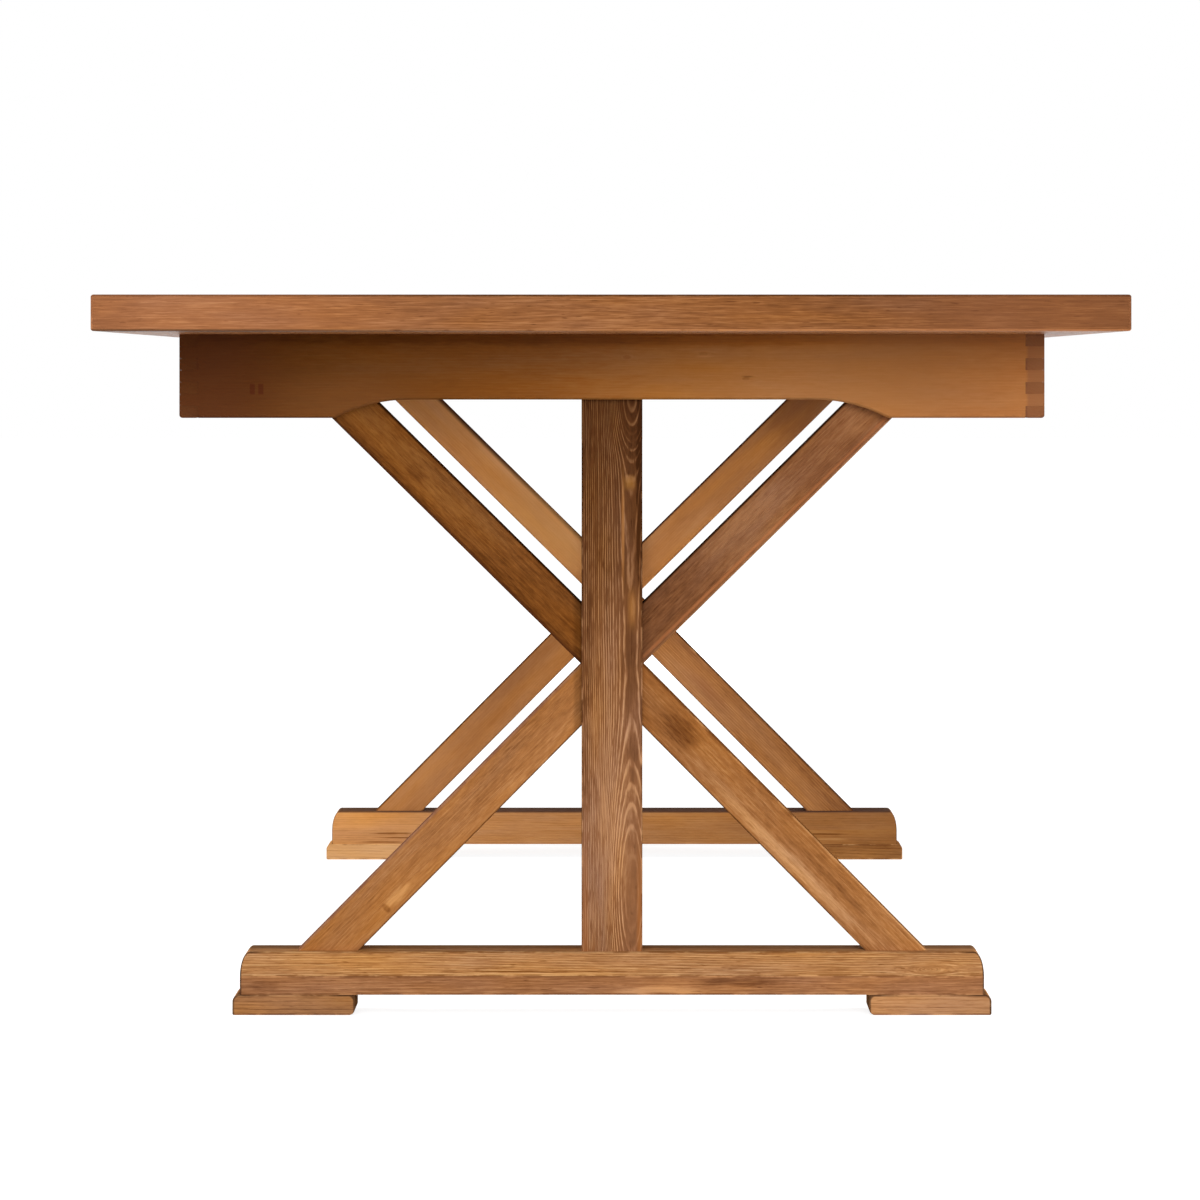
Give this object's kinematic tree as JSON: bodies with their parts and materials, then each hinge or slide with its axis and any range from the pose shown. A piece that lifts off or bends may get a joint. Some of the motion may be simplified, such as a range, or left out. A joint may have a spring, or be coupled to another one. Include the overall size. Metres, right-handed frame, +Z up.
{
  "type": "sawbuck dining table",
  "caption": "Stained pine dining table: planked top with breadboard ends on an arched, finger-jointed apron box, carried by two braced post trestles tied by a stretcher.",
  "frame": {"origin": "on the floor, under the middle of the table", "axes": "+X across the table's width to the right, +Y along its length to the far end, +Z up"},
  "size_m": [1.016, 1.829, 0.762],
  "materials": {
    "top_wood": "stained, wire-brushed pine with satin lacquer",
    "apron_wood": "smooth stained pine with satin lacquer",
    "trestle_wood": "stained, wire-brushed pine with satin lacquer",
    "inner_wood": "pine with a thin coat of stain",
    "dowel_wood": "plain beech",
    "zinc_steel": "zinc plated",
    "insert_brass": "plain brass"
  },
  "bodies": {
    "root": {"batten_screws": "zinc_steel", "bearer_screws": "zinc_steel", "bolt_washers": "zinc_steel", "breadboard_pegs": "dowel_wood", "clip_screws": "zinc_steel", "far_bearer": "inner_wood", "far_brace_dowels": "dowel_wood", "far_breadboard": "top_wood", "far_end_apron": "apron_wood", "far_foot_lower_board": "trestle_wood", "far_foot_upper_board": "trestle_wood", "far_left_corner_block": "inner_wood", "far_left_lower_brace": "trestle_wood", "far_left_pad": "trestle_wood", "far_left_upper_brace": "trestle_wood", "far_post": "trestle_wood", "far_right_corner_block": "inner_wood", "far_right_lower_brace": "trestle_wood", "far_right_pad": "trestle_wood", "far_right_upper_brace": "trestle_wood", "left_side_apron": "apron_wood", "near_bearer": "inner_wood", "near_brace_dowels": "dowel_wood", "near_breadboard": "top_wood", "near_end_apron": "apron_wood", "near_foot_lower_board": "trestle_wood", "near_foot_upper_board": "trestle_wood", "near_left_corner_block": "inner_wood", "near_left_lower_brace": "trestle_wood", "near_left_pad": "trestle_wood", "near_left_upper_brace": "trestle_wood", "near_post": "trestle_wood", "near_right_corner_block": "inner_wood", "near_right_lower_brace": "trestle_wood", "near_right_pad": "trestle_wood", "near_right_upper_brace": "trestle_wood", "pad_screws": "zinc_steel", "right_side_apron": "apron_wood", "stretcher": "trestle_wood", "threaded_inserts": "insert_brass", "top_batten_1": "inner_wood", "top_batten_2": "inner_wood", "top_bolts": "zinc_steel", "top_clips": "zinc_steel", "top_plank_1": "top_wood", "top_plank_2": "top_wood", "top_plank_3": "top_wood", "top_plank_4": "top_wood", "top_plank_5": "top_wood", "top_plank_6": "top_wood", "top_plank_7": "top_wood"}
  },
  "joints": []
}
